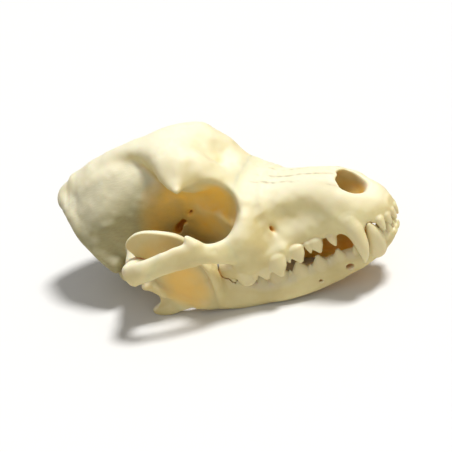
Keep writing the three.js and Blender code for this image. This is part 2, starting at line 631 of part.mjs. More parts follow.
// A prism between two outlines with equally many corners, one above the other.
function prism(low, high, z0, z1) {
  const flat = (outline) => outline.map(([x, y]) => new THREE.Vector2(x, y));
  if (THREE.ShapeUtils.isClockWise(flat(low))) {
    low = low.toReversed();
    high = high.toReversed();
  }
  const n = low.length;
  const caps = THREE.ShapeUtils.triangulateShape(flat(low), []).map((f) => {
    const corners = flat(f.map((v) => low[v]));
    return THREE.ShapeUtils.isClockWise(corners) ? f.toReversed() : f;
  });
  const points = [...low.map((p) => [...p, z0]), ...high.map((p) => [...p, z1])];
  const faces = caps.flatMap((f) => [f.toReversed(), f.map((v) => v + n)]);
  for (let i = 0; i < n; i++) {
    const j = (i + 1) % n;
    faces.push([i, j, j + n], [i, j + n, i + n]);
  }
  return solid({ points, faces });
}

function largest(body) {
  return body.decompose().reduce((a, b) => (b.volume() > a.volume() ? b : a));
}

function craniumSamples() {
  const s = new Samples(SAMPLE_BOX);
  s.add(vault, 6);
  s.add(crestRoot, 12);
  s.add(skullBase, 6);
  s.add(occipital, 4);
  s.add(forehead, 4);
  s.add(muzzle, 9);
  s.add(lacrimal, 5);
  s.add(sagittalCrest, 11);
  s.add(neckCrest, 10);
  s.add(browTip, 5);
  s.add(toothRowWall, 5);
  s.add(caninePillar, 4);
  s.add(arch, 6);
  s.carve(temporalHollow, 8);
  s.carve(foreheadGroove, 6);
  s.carve(nasalGroove, 3);
  s.carve(orbit, 1.2);
  s.carve(orbitPocket, 3);
  s.carve(cheekHollow, 8);
  s.add(jugalHorn, 3);
  s.add(earCapsule, 2);
  s.add(pterygoid, 3);
  s.add(occipitalCondyle, 2);
  s.add(neckProcess, 2);
  s.add(socketHook, 3);
  s.add(nasalTip, 1.5);
  s.carve(nasalPassage, 1.5);
  s.carve(palateHollow, 2);
  s.carve(throat, 2);
  s.carve(jawSocket, 2);
  s.carve(spinalOpening, 2);
  s.carve(earHole, 1);
  s.carve(infraorbitalHole, 1.5);
  for (const tooth of upperTeeth) s.add(tooth, 1);
  return s;
}

// Height above the floor of a point given in the skull's own frame.
const overFloor = (x, z) => x * Math.sin(NOSE_UP) + z * Math.cos(NOSE_UP) - REST_HEIGHT;

function jawSamples() {
  const s = new Samples(SAMPLE_BOX);
  s.add(jawBodyForm(), 3);
  s.add(ramus, 5);
  s.add(ramusRidge, 3);
  s.add(condyleCrest, 3);
  s.carve(masseterHollow, 3);
  s.add(condyle, 3);
  s.add(angularHook, 3);
  s.add(innerSwelling, 4);
  s.add(lowerCanine, 1.5);
  for (const tooth of lowerTeeth) s.add(tooth, 1);
  s.carve(chinHole, 1);
  return s;
}

const cranium = craniumSamples();
const canineRoom = new Samples(SAMPLE_BOX);
canineRoom.add(lowerCanine, 1);
cranium.clear(canineRoom, JAW_GAP);

const jaws = jawSamples();
jaws.clear(cranium, JAW_GAP);
jaws.cut((x, y, z) => -overFloor(x, z));

const skull = solid(thin(cranium.surface(), CRANIUM_FACETS));

// The cheekbone block, slightly grown about its middle where the other bones meet it.
function cheekPrism(side, grow) {
  const [x0, y0] = cheekBlock.middle;
  const place = ([x, y]) => [x0 + (x - x0) * grow, side * (y0 + (y - y0) * grow)];
  return prism(cheekBlock.low.map(place), cheekBlock.high.map(place), cheekBlock.foot, cheekBlock.top);
}

const withoutCheeks = [1, -1].reduce(
  (rest, side) => rest.subtract(cheekPrism(side, cheekBlock.grown)), skull);

function faceSlab() {
  const slab = new THREE.BoxGeometry(SUTURE_GAP, faceCut.wide, faceCut.high);
  slab.deleteAttribute("normal");
  slab.deleteAttribute("uv");
  const merged = mergeVertices(slab);
  merged.rotateY(faceCut.lean);
  merged.translate(...faceCut.through);
  return new wasm.Manifold(new wasm.Mesh({
    numProp: 3,
    vertProperties: merged.attributes.position.array,
    triVerts: new Uint32Array(merged.index.array),
  }));
}

const parted = withoutCheeks.subtract(faceSlab()).decompose().sort((a, b) => b.volume() - a.volume());
const foremost = (body) => body.boundingBox().max[0];
const [braincase, snout] = parted.slice(0, 2).sort((a, b) => foremost(a) - foremost(b));

jaws.cut((x, y) => SUTURE_GAP / 2 - y);
const oneJaw = thin(jaws.surface(), JAW_FACETS);
const madeSide = Math.sign(oneJaw.points[oneJaw.faces[0][0]][1]);

function jawOn(side) {
  if (side === madeSide) return solid(oneJaw);
  const points = oneJaw.points.map(([x, y, z]) => [x, -y, z]);
  return solid({ points, faces: oneJaw.faces.map((f) => f.toReversed()) });
}

const skullFrame = new THREE.Group();
skullFrame.rotation.y = -NOSE_UP;
skullFrame.position.z = -REST_HEIGHT;

function addBone(name, body, colour) {
  const mesh = body.getMesh();
  const geometry = new THREE.BufferGeometry();
  geometry.setAttribute("position", new THREE.BufferAttribute(mesh.vertProperties, 3));
  geometry.setIndex(new THREE.BufferAttribute(mesh.triVerts, 1));
  const out = new THREE.Mesh(geometry, bone(colour));
  out.name = name;
  skullFrame.add(out);
}

addBone("braincase", braincase, 0xe9e0c2);
addBone("snout", snout, 0xece4c8);
for (const [side, word] of [[1, "left"], [-1, "right"]]) {
  addBone(`cheekbone_${word}`, largest(skull.intersect(cheekPrism(side, 1))), 0xe4dab8);
  addBone(`jaw_${word}`, jawOn(side), 0xe6dcba);
}

const part = new THREE.Group();
part.add(skullFrame);
part.updateMatrixWorld(true);
const extent = new THREE.Box3().setFromObject(part, true);
part.position.set(-(extent.min.x + extent.max.x) / 2, 0, -extent.min.z);

export default part;
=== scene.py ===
import math

import bpy
import numpy as np
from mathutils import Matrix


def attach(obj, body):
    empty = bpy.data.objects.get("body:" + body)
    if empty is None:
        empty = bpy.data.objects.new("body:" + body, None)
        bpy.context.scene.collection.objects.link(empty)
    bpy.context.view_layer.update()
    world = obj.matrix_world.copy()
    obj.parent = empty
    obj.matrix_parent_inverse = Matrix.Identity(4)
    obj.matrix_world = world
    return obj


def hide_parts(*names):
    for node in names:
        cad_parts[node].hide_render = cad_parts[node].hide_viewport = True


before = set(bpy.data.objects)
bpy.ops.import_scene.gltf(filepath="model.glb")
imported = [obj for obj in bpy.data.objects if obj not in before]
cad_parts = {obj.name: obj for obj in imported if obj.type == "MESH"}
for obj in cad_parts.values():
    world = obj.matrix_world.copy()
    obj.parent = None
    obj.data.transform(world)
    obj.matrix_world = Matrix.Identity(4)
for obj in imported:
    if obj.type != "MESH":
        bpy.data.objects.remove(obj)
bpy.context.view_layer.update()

import openvdb
from mathutils import Matrix, Vector

print("frame loaded")

# The skull is shaped in its own frame, in mm: x from the nape to the muzzle, y sideways,
# z up from the tooth line. Then it is tipped nose up until it rests on its lower jaw.
pose = {
    "noseUp": 13.0,  # degrees
    "slideX": -79.87,
    "lift": 1.092,
}

sampling = {
    "step": 0.68,  # mm between the samples that the bone surface is drawn through
    "low": (-12.0, 0.0, -34.0),
    "high": (190.4, 64.4, 84.0),
    "far": 40.0,
}

step = sampling["step"]
counts = [int(round((h - l) / step)) + 1 for l, h in zip(sampling["low"], sampling["high"])]
axes = [(l + step * np.arange(n)).astype(np.float32) for l, n in zip(sampling["low"], counts)]


def newField():
    return np.full(counts, sampling["far"], np.float32)


def curve(stations):  # a smooth curve through (x, value) stations that never overshoots
    sx = np.array([s[0] for s in stations], float)
    sv = np.array([s[1] for s in stations], float)
    slope = np.diff(sv) / np.diff(sx)
    tangent = np.concatenate([slope[:1], np.zeros(len(slope) - 1), slope[-1:]])
    for i in range(1, len(slope)):
        a, b = slope[i - 1], slope[i]
        tangent[i] = 2 * a * b / (a + b) if a * b > 0 else 0

    def at(x):
        x = np.clip(x, sx[0], sx[-1])
        i = np.clip(np.searchsorted(sx, x, "right") - 1, 0, len(slope) - 1)
        width = sx[i + 1] - sx[i]
        t = (x - sx[i]) / width
        s = 1 - t
        return (sv[i] * s * s * (1 + 2 * t) + sv[i + 1] * t * t * (3 - 2 * t)
                + width * s * t * (tangent[i] * s - tangent[i + 1] * t))

    return at


# A form is (low corner, high corner, distance), for y above 0 only: both sides are alike.
# loft: a body drawn along x, with stations (x, top, bottom, height of the widest line, half width)
def loft(stations, roundTop, roundBottom):
    top, bottom, mid, half = [curve([(s[0], s[c]) for s in stations]) for c in (1, 2, 3, 4)]
    x0, x1 = stations[0][0], stations[-1][0]

    def reach(x, y, z):
        m = mid(x)
        up = np.abs(z - m) / np.where(z > m, top(x) - m, m - bottom(x))
        n = np.where(z > m, roundTop, roundBottom)
        return (np.abs(y / half(x)) ** n + up ** n) ** (1 / n)

    def distance(x, y, z):
        xi = np.clip(x, x0, x1)
        e = 0.4
        g = reach(xi, y, z)
        gx = (reach(xi + e, y, z) - reach(xi - e, y, z)) / (2 * e)
        gy = (reach(xi, y + e, z) - reach(xi, y - e, z)) / (2 * e)
        gz = (reach(xi, y, z + e) - reach(xi, y, z - e)) / (2 * e)
        d = (g - 1) / np.maximum(np.sqrt(gx * gx + gy * gy + gz * gz), 0.01)
        return np.maximum(d, np.maximum(x0 - x, x - x1))

    wide = max(s[4] for s in stations)
    return (x0, 0, min(s[2] for s in stations)), (x1, wide, max(s[1] for s in stations)), distance


# bar: follows a smooth path, with stations (x, y, z, half height, half thickness)
def bar(stations, upright=(0, 0, 1)):
    last = len(stations) - 1
    steps = 1 if last == 1 else last * 4
    by = [curve(list(enumerate(s[c] for s in stations))) for c in range(5)]
    points = np.array([f(np.linspace(0, last, steps + 1)) for f in by], np.float32).T

    def distance(x, y, z):
        shape = np.broadcast_shapes(x.shape, y.shape, z.shape)
        best = np.full(shape, np.inf, np.float32)
        up = np.zeros(shape, np.float32)
        high = np.ones(shape, np.float32)
        thick = np.ones(shape, np.float32)
        for p, q in zip(points[:-1], points[1:]):
            a = q[:3] - p[:3]
            t = ((x - p[0]) * a[0] + (y - p[1]) * a[1] + (z - p[2]) * a[2]) / (a @ a)
            t = np.clip(t, 0, 1)
            dx, dy, dz = x - p[0] - a[0] * t, y - p[1] - a[1] * t, z - p[2] - a[2] * t
            square = dx * dx + dy * dy + dz * dz
            near = square < best
            best = np.where(near, square, best)
            up = np.where(near, dx * upright[0] + dy * upright[1] + dz * upright[2], up)
            high = np.where(near, p[3] + (q[3] - p[3]) * t, high)
            thick = np.where(near, p[4] + (q[4] - p[4]) * t, thick)
        side = np.sqrt(np.maximum(best - up * up, 0))
        g = np.hypot(up / high, side / thick)
        slope = np.hypot(up / high ** 2, side / thick ** 2)
        least = 1e-6  # on the path itself the slope is 0
        return np.where(slope > least, g * (g - 1) / np.maximum(slope, least), -np.minimum(high, thick))

    margin = points[:, 3:].max()
    return tuple(points[:, :3].min(0) - margin), tuple(points[:, :3].max(0) + margin), distance


def ellipsoid(centre, radii):
    def distance(x, y, z):
        d = [x - centre[0], y - centre[1], z - centre[2]]
        g = np.sqrt(sum((v / r) ** 2 for v, r in zip(d, radii)))
        slope = np.sqrt(sum((v / r ** 2) ** 2 for v, r in zip(d, radii)))
        return g * (g - 1) / np.maximum(slope, 1e-4)

    low, high = [tuple(c + s * r for c, r in zip(centre, radii)) for s in (-1, 1)]
    return low, high, distance


def roundOff(corners):  # a closed curve through the corners, three pieces between each two
    corners = np.array(corners, float)
    out = []
    for i in range(len(corners)):
        a, b, c, d = [corners[(i + k) % len(corners)] for k in (-1, 0, 1, 2)]
        ab, bc, cd = [np.linalg.norm(q - p) ** 0.5 for p, q in ((a, b), (b, c), (c, d))]
        leave = ((b - a) / ab - (c - a) / (ab + bc) + (c - b) / bc) * bc
        arrive = ((c - b) / bc - (d - b) / (bc + cd) + (d - c) / cd) * bc
        for t in (0, 1 / 3, 2 / 3):
            out.append(b + leave * t + (3 * (c - b) - 2 * leave - arrive) * t ** 2
                       + (2 * (b - c) + leave + arrive) * t ** 3)
    return np.array(out)


# sheet: a plate with a side-view outline of (x, z) corners that lies at y = middle(x, z)
def sheet(corners, middle, thickness, rounding=1.0):
    outline = roundOff(corners)

    def distance(x, y, z):
        best = np.full(np.broadcast_shapes(x.shape, z.shape), np.inf)
        inside = np.zeros(best.shape, bool)
        for p, q in zip(outline, np.roll(outline, -1, 0)):
            e = q - p
            t = np.clip(((x - p[0]) * e[0] + (z - p[1]) * e[1]) / (e @ e), 0, 1)
            best = np.minimum(best, (x - p[0] - e[0] * t) ** 2 + (z - p[1] - e[1] * t) ** 2)
            if p[1] != q[1]:
                inside ^= ((p[1] > z) != (q[1] > z)) & (x < p[0] + e[0] * (z - p[1]) / e[1])
        a = np.where(inside, -np.sqrt(best), np.sqrt(best)) + rounding
        b = np.abs(y - middle(x, z)) - thickness(x, z) / 2 + rounding
        return np.minimum(np.maximum(a, b), 0) + np.hypot(np.maximum(a, 0), np.maximum(b, 0)) - rounding

    x, z = outline.T
    margin = thickness(x, z).max()
    flat = np.array([x, middle(x, z), z]).T
    return tuple(flat.min(0) - margin), tuple(flat.max(0) + margin), distance


def blendMin(a, b, k):
    h = np.maximum(k - np.abs(a - b), 0) / k
    return np.minimum(a, b) - h * h * k * 0.25


def block(form, margin):  # the samples near a form, and their distance to it
    cut = []
    for a, lo, hi in zip(axes, form[0], form[1]):
        first = int(np.clip((lo - margin - a[0]) // step, 0, len(a)))
        last = int(np.clip((hi + margin - a[0]) // step + 2, 0, len(a)))
        cut.append(slice(first, last))
    x, y, z = [a[c] for a, c in zip(axes, cut)]
    return tuple(cut), form[2](x[:, None, None], y[None, :, None], z[None, None, :])


def add(field, form, blend=3.0):
    cut, d = block(form, blend + 2)
    field[cut] = blendMin(field[cut], d, blend)


def carve(field, form, blend=2.0):
    cut, d = block(form, blend + 2)
    field[cut] = -blendMin(-field[cut], d, blend)


braincaseShape = {
    "vault": [
        (5, 52, 24, 36, 13), (12, 62, 15, 37, 22), (21, 67, 12, 39, 27.5), (32, 70.5, 12, 40, 29),
        (45, 73, 12.5, 41, 26), (58, 72, 13.5, 42, 22.5), (70, 67, 16, 44, 19.5), (84, 60, 20, 45, 16)],
    "base": [(8, 2, 16, 4, 10), (40, 2, 15.5, 4, 9), (72, 2, 17, 4, 8)],
    "occipital": [
        (1, 56, 32, 44, 9), (6, 57, 20, 40, 17.5), (11, 59, 14, 37, 22), (18, 61, 12, 35, 26),
        (26, 61, 12, 34, 26.5)],
    "crestTop": [(-5, 55), (-1.5, 60), (6.5, 66), (17, 69.4), (35, 73.8), (48, 75.9), (58, 76)],
    "crestFoot": [(58, 74), (52, 64), (25, 56), (8, 46), (2, 42), (-2, 48)],
    "crestThick": 2.6,
    "crestRoot": [(1, 2, 53, 4, 5), (9, 2, 58, 5, 7), (22, 2, 63, 5, 8), (36, 2, 67, 4, 8)],
    "neckCrest": [
        (-3.6, 0, 56.5, 3, 2.4), (1, 8, 55.5, 2.8, 2.4), (6.6, 16, 50.5, 2.8, 2.4),
        (10.6, 20, 43, 3, 2.6), (15.2, 23.6, 34, 3.2, 2.6), (20.5, 27.4, 27, 4, 3.2),
        (25, 28.8, 21, 5, 4)],
    "condyle": [(11, 6.5, 13.5, 4, 4.5), (10.5, 11.5, 19, 5.5, 4.5), (13, 13, 24, 4, 4)],
    "spinalOpening": [(-6, 2, 23, 7, 6.5), (14, 2, 22, 6.5, 6)],
    "earCapsule": ((30, 18.5, 9.5), (12, 8.5, 8)),
    "neckProcess": [(22, 20, 14, 4, 4), (21, 20.5, 6.5, 2.5, 2.5)],
    "earHole": [(31, 24, 17, 2.6, 2.6), (31, 36, 18, 3, 3)],
    "jawSocket": [(47, 28, 13, 5.8, 6.2), (48.5, 49, 13, 5.8, 6.2)],
    "socketHook": [(41.5, 29, 18, 5, 3.5), (42, 36, 17.5, 4, 3)],
    "wing": [(60, 10.5, 10, 4.5, 1.6), (72, 11, 9, 7, 1.8), (86, 12, 8, 7, 2.5)],
    "throat": [(52, 3, 7, 6, 6.5), (84, 3, 9, 5.5, 6.5), (92, 3, 10, 4, 5)],
}

foreheadShape = {
    "dome": [
        (38, 73.5, 66, 71, 1.5), (46, 75.6, 64, 73, 3.4), (54, 78, 60, 75, 6.5), (60, 79.4, 55, 73.5, 9),
        (68.5, 79.8, 50, 69, 15.5), (75, 79.4, 46, 64.5, 22.5), (81, 78.4, 44, 60, 27.5),
        (89, 76.5, 42, 58, 27.5), (97, 71.6, 40, 54, 23.5), (103, 63, 38, 50, 21.5),
        (109, 51, 34, 42, 20.5), (114, 41.4, 30, 36, 19), (120, 36, 27, 31, 16)],
    "groove": [(74, 0, 92, 5, 7), (84, 0, 87, 7.5, 10), (91, 0, 82, 7.5, 11), (98, 0, 75, 7, 11),
               (108, 0, 59, 6, 9)],
    "browTip": [(79, 22, 62, 4, 5), (84.6, 27.6, 60, 3.4, 4.8), (86.6, 31.2, 58.6, 2.5, 3)],
    "temporalHollow": [(62, 25, 66, 4, 4), (70, 29, 57, 7, 7), (78, 34, 49, 8, 9)],
}

muzzleShape = {
    "body": [
        (70, 58, 15, 36, 15), (84, 58, 8, 34, 16), (96, 54, 3, 26, 19.5), (104, 47, 1, 17, 24.5),
        (111, 42.6, 0.5, 11, 28.6), (120, 39.6, 0.5, 8, 27), (130, 37.6, 0.5, 8, 23.2),
        (141, 36, 0.5, 8, 20.4), (152, 34, 0.5, 8, 18.8), (160, 31.6, 0.5, 8, 18.8),
        (167, 26.5, 0.5, 7, 18), (174, 19.5, 0.5, 6, 14.8), (180, 15, 0.5, 5.5, 10),
        (184.6, 9, 2, 5, 4.5)],
    "nasalGroove": [(122, 0, 42.6, 2.2, 3.5), (132, 0, 39.6, 2.5, 3.5), (162, 0, 34, 2.5, 3.5)],
    "lacrimal": [(110, 16, 32, 6, 6), (112, 24.5, 27, 7, 6), (110, 30, 20, 8, 6)],
    "nasalTip": [(148, 5, 31, 2.5, 3), (160, 6.6, 28.6, 2, 2.5), (167.6, 7.8, 25.8, 1.2, 1.3)],
    "nasalPassage": [(128, 3, 18, 8, 5), (150, 3, 18, 9.5, 6.5), (163, 2.5, 20, 9, 6.8),
                     (170, 1.5, 23.5, 8.5, 6.8), (177, 0, 30.5, 8, 6.8), (188, 0, 39, 8, 6.8)],
    "septum": [(124, 0, 18, 12, 0.8), (154, 0, 16, 9, 0.8)],
    "scrolls": [(12, 3.4), (16, 4.4), (20, 4.6), (24, 3.6)],  # height and y of the rolls of bone inside
    "scrollEnds": [(126, 1.1, 1.3), (152, 0.9, 1.1)],  # x, half height, half thickness
    "palate": [(86, 2, -1, 3.5, 13), (110, 2, -1.5, 4, 15), (150, 2, -1.5, 3.5, 10),
               (174, 1, -1.5, 3, 7)],
    "palateHole": [(165, 4, -4, 4.5, 1.7), (165, 4, 6, 4.5, 1.7)],
    "cheekHollow": ((141, 28, 22), (16, 11.5, 9)),
    "toothRowWall": [(90, 29, 4, 6, 5), (100, 31.5, 3.6, 6, 5), (112, 29.4, 3.6, 5, 4.6),
                     (125, 24.5, 4.6, 5, 3.5)],
    "caninePillar": [(165, 15.8, 2, 4, 4.6), (159, 14.5, 13, 4, 4.2), (152, 12, 21, 3, 3.5)],
    "nerveHole": [(131, 26.6, 16.5, 3.8, 1.3), (121, 20, 18.5, 3, 1.2)],
}

orbitShape = {
    "centre": (98.9, 31, 43),
    "axis": (0.603, 0.744, 0.287),
    "rings": [(-8.5, 10), (0, 16.6), (10, 17.6), (26, 20)],  # depth along the axis, radius
    "pocket": ((102, 24, 40), (8.5, 9, 13)),
    "nerveHoles": [  # centre, radius
        ((64.6, 14, 26.6), 1.8), ((66.6, 14, 28.2), 2.2), ((68.6, 14, 29.9), 1.8), ((72, 14, 31.6), 1.5),
        ((60, 14.5, 22), 1.6), ((77.4, 14.5, 35.6), 0.8), ((79, 14.5, 36.6), 0.9),
        ((80.6, 14.5, 37.4), 0.8)],
    "nerveHoleEnds": [(1, 5, 1), (-0.6, -2.4, -0.6)],  # mm from the centre
}

cheekShape = {
    "arch": [
        (114, 27, 14, 11, 5), (106, 34, 17, 11.5, 4.4), (98, 40, 21, 9.6, 3.6), (89, 46, 26.4, 8.8, 3),
        (80, 50.5, 28.6, 7.6, 2.8), (70, 53.7, 29, 6.9, 3), (60, 56, 28.3, 7.2, 3.2),
        (51, 56, 26.8, 7.6, 3.6), (47.5, 49, 26, 6, 5), (47.5, 41, 24.6, 5, 8), (46, 30, 25, 6, 10)],
    "horn": [(90, 45, 31, 3.5, 3), (87.2, 45, 37, 2, 1.8)],
    "pore": [(96, 37, 23, 0.8, 0.8), (98, 46, 24, 0.8, 0.8)],
}

toothRow = (0.97, -0.24, 0)


# a pointed crown from its neck to its tip, its length measured along the tooth row
def crown(neck, tip, length, width, along=toothRow):
    middle = [(a + b) / 2 for a, b in zip(neck, tip)]
    return bar([(*neck, length / 2, width / 2), (*middle, length * 0.42, width * 0.42),
                (*tip, length * 0.17, width * 0.25)], along)


upperTeeth = [
    crown((183.6, 2.4, 2), (184.2, 2.4, -2.8), 4, 4.4, (0.2, 0.98, 0)),
    crown((181.8, 6.4, 2), (182.2, 6.6, -2.8), 4.2, 4.6, (0.6, 0.8, 0)),
    crown((178.8, 10.2, 2.6), (179.4, 10.8, -3.2), 5, 5, (0.85, 0.5, 0)),
    bar([(164.5, 15.6, 9, 5.4, 4.2), (166.4, 17.4, 3.5, 5, 4), (167.2, 18.6, -4.5, 4.1, 3.5),
         (166.6, 19.2, -11, 2.7, 2.4), (164.9, 19.4, -16, 1, 0.9)], (0.98, 0.15, 0.1)),
    crown((152, 17.6, 3), (152.4, 18, -2.4), 5.6, 4.2),
    crown((142.6, 19.4, 3), (143.2, 20, -3.2), 8.4, 4.6),
    crown((138.6, 20.4, 3), (138.4, 21, -2), 5, 3.6),
    crown((131.2, 22.8, 3), (132, 23.8, -4.4), 10.4, 5.2),
    crown((126.4, 24.4, 3), (126.2, 25.2, -2.6), 5.4, 4.2),
    crown((120.4, 28.4, 3), (121, 30, -6.4), 12.6, 6.8),
    crown((112.4, 30.4, 2), (112.6, 31.2, -5.6), 12, 6.4),
    crown((106.4, 31, 2), (106.2, 31.6, -4.6), 7, 5.6),
    bar([(101.2, 31, 2, 6.4, 6), (101, 32.2, -5, 5, 3)], (1, 0, 0)),
    bar([(101.5, 24, 3, 5, 5), (101.5, 23.5, -2.5, 3.8, 3.5)], (1, 0, 0)),
    bar([(92.5, 27.5, 3, 3.5, 6), (92.5, 27.5, -2.5, 2.6, 5)], (1, 0, 0)),
]

jawShape = {
    "middle": [(40, 38), (66, 36.6), (84, 32), (95, 28.4), (105, 26), (115, 23.8), (125, 20.8),
               (135, 17.4), (145, 14.2), (155, 10.6), (165, 7.6), (175, 4.4), (183, 2.2)],
    "top": [(78, 0), (90, -3), (100, -8), (108, -11.4), (117, -12.4), (128, -11.6), (140, -11.2),
            (150, -10.8), (160, -12), (170, -12), (178, -9), (182, -8)],
    "bottom": [(66, -10.6), (75, -15), (84, -19.8), (92, -22.8), (102, -24.6), (113, -26.2),
               (130, -27.6), (144, -26.8), (154, -25.4), (166, -22.2), (176, -17), (182, -11.5)],
    "halfThick": [(66, 3.6), (90, 5), (115, 5.4), (145, 5), (160, 5.2), (175, 4.6), (183, 2.4)],
    "reach": (68, 182),
    "roundness": 2.3,
    "ramus": [
        (104, -18), (101, -11), (95.5, -5), (91, 2), (88, 10), (84, 22), (79, 33.5), (73, 39.5),
        (66, 43.3), (60, 44.8), (54, 44.2), (48.5, 41.2), (46.6, 37.5), (48.8, 31), (50, 24), (50, 17),
        (47, 12), (48.6, 4), (48.2, -1), (45, -4.4), (41.2, -7), (43, -10.6), (47.5, -12.6), (54, -12.4),
        (62, -11.6), (68, -12.2), (76, -14.6), (86, -17.5), (97, -19.5)],
    "ramusFoot": -8,
    "ramusLean": 0.075,  # outwards for each mm above the foot
    "ramusThick": 4.2,
    "ramusThinning": 0.025,  # for each mm of height
    "ridge": [(81, 34.6, -13, 2.6, 3.2), (84.5, 36.6, -3, 2.8, 3.8), (86, 37.8, 8, 2.4, 3.2),
              (83, 38.4, 19, 1.4, 1.4)],
    "lowerRidge": [(51, 42.4, 9, 3, 3.2), (57.5, 41.8, 1, 2.6, 3), (65.5, 39.6, -5.5, 2.6, 2.8),
                   (75, 36.6, -12, 2.6, 2.6)],
    "muscleHollow": ((70, 43.4, 5), (15, 5.4, 16)),
    "condyle": [(47, 27.5, 12.2, 3.6, 4), (48.2, 37, 12.8, 4, 4.2), (48.6, 44.4, 12.6, 2.8, 3.2)],
    "hook": [(52, 37.5, -8, 3.6, 3), (46, 37.6, -9.4, 2.8, 2.6), (41.6, 38.4, -8.2, 1.8, 1.8)],
    "canine": [(169.5, 8.8, -16, 5.4, 4.8), (172, 11, -9, 5.1, 4.4), (173.5, 12.6, -2.4, 3.8, 3.5),
               (173.4, 13.6, 2.6, 1.7, 1.6)],
    "innerSwelling": [(98, 21, -20.5, 4, 4.5), (122, 15, -23, 4, 4.5), (140, 10.6, -23, 3.8, 4.2),
                      (155, 6.6, -21, 3, 3.5)],
    "chinHoles": [[(154.5, 18, -19.6, 1.7, 2.2), (152, 12.5, -19.2, 1.5, 2)],
                  [(137, 24, -21.3, 0.9, 1.2), (135.4, 18.5, -21, 0.9, 1.2)]],
    "clearance": 0.3,  # mm between upper and lower jaw
}

lowerCanine = bar(jawShape["canine"], (0.93, -0.3, 0.2))
lowerTeeth = [
    crown((180, 1.6, -10), (180.6, 1.7, -2.5), 3, 4, (0, 1, 0)),
    crown((178.8, 4.4, -10), (179.4, 4.8, -2.5), 3.6, 4.4, (0.3, 0.95, 0)),
    crown((176, 6.8, -11), (176.6, 7.4, -3), 4.2, 4.6, (0.6, 0.8, 0)),
    crown((158.8, 12.2, -14), (159.3, 12.6, -9), 4, 3.4),
    crown((149.8, 14.6, -14), (150.4, 15, -8.2), 8.2, 4.8),
    crown((145.6, 15.8, -14.5), (145.4, 16, -11), 4.6, 3.6),
    crown((138.8, 18.2, -15.5), (139.4, 18.4, -7.6), 10, 5.4),
    crown((133.8, 19.4, -15.5), (133.6, 19.6, -11.2), 5, 4),
    crown((127.6, 21.4, -15.5), (128.2, 21.4, -7), 11, 6),
    crown((122.4, 22.6, -15.5), (122.2, 22.6, -10.4), 5.6, 4.6),
    crown((115.5, 24.4, -15), (114.5, 23.6, -1), 13, 6.6),
    crown((105.5, 26.4, -14), (105.5, 25.6, -7), 9, 6.4),
    crown((97, 28.6, -12), (97, 28, -6.5), 8, 6),
]


def makeCrest():
    top = curve(braincaseShape["crestTop"])
    corners = [(-5.6, 54), (-3.6, 57.6), *((x, float(top(x))) for x in (0, 10, 20, 34, 48))]
    return sheet([*corners, *braincaseShape["crestFoot"]], lambda x, z: 0 * x,
                 lambda x, z: braincaseShape["crestThick"] + 0 * x, 1.2)


def makeOrbit():
    rings = [(*(c + a * depth for c, a in zip(orbitShape["centre"], orbitShape["axis"])), radius, radius)
             for depth, radius in orbitShape["rings"]]
    return bar(rings)


def makeCranium():
    field = newField()
    b, f, m, o, c = braincaseShape, foreheadShape, muzzleShape, orbitShape, cheekShape
    add(field, loft(b["vault"], 2, 2.4), 6)
    add(field, bar(b["crestRoot"]), 12)
    add(field, bar(b["base"]), 6)
    add(field, loft(b["occipital"], 2, 2.4), 4)
    add(field, loft(f["dome"], 2.3, 1.5), 4)
    add(field, loft(m["body"], 2.4, 3.5), 9)
    add(field, bar(m["lacrimal"]), 5)
    add(field, makeCrest(), 11)
    add(field, bar(b["neckCrest"]), 10)
    add(field, bar(f["browTip"]), 5)
    add(field, bar(m["toothRowWall"]), 5)
    add(field, bar(m["caninePillar"], (1, 0, 0)), 4)
    add(field, bar(c["arch"]), 6)
    carve(field, bar(f["temporalHollow"]), 8)
    carve(field, bar(f["groove"]), 6)
    carve(field, bar(m["nasalGroove"]), 3)
    carve(field, makeOrbit(), 1.2)
    carve(field, ellipsoid(*o["pocket"]), 3)
    carve(field, ellipsoid(*m["cheekHollow"]), 8)
    add(field, bar(c["horn"]), 3)
    add(field, ellipsoid(*b["earCapsule"]), 2)
    add(field, bar(b["wing"]), 3)
    add(field, bar(b["condyle"], (0.3, 0, 0.95)), 2)
    add(field, bar(b["neckProcess"], (1, 0, 0)), 2)
    add(field, bar(b["socketHook"]), 3)
    add(field, bar(m["nasalTip"]), 1.5)
    carve(field, bar(m["nasalPassage"]), 1.5)
    carve(field, bar(m["palate"]), 2)
    carve(field, bar(b["throat"]), 2)
    carve(field, bar(b["jawSocket"]), 2)
    carve(field, bar(b["spinalOpening"]), 2)
    carve(field, bar(b["earHole"]), 1)
    carve(field, bar(m["nerveHole"]), 1.5)
    carve(field, bar(m["palateHole"], (1, 0, 0)), 1)
    carve(field, bar(c["pore"]), 1)
    for (x, y, z), radius in o["nerveHoles"]:
        ends = [(x + dx, y + dy, z + dz, radius, radius) for dx, dy, dz in o["nerveHoleEnds"]]
        carve(field, bar(ends), 1)
    add(field, bar(m["septum"]), 1.5)
    for height, y in m["scrolls"]:
        add(field, bar([(x, y, height, high, thick) for x, high, thick in m["scrollEnds"]]), 1)
    return field


def makeTeeth(teeth):
    field = newField()
    for tooth in teeth:
        add(field, tooth, 0.6)
    return field


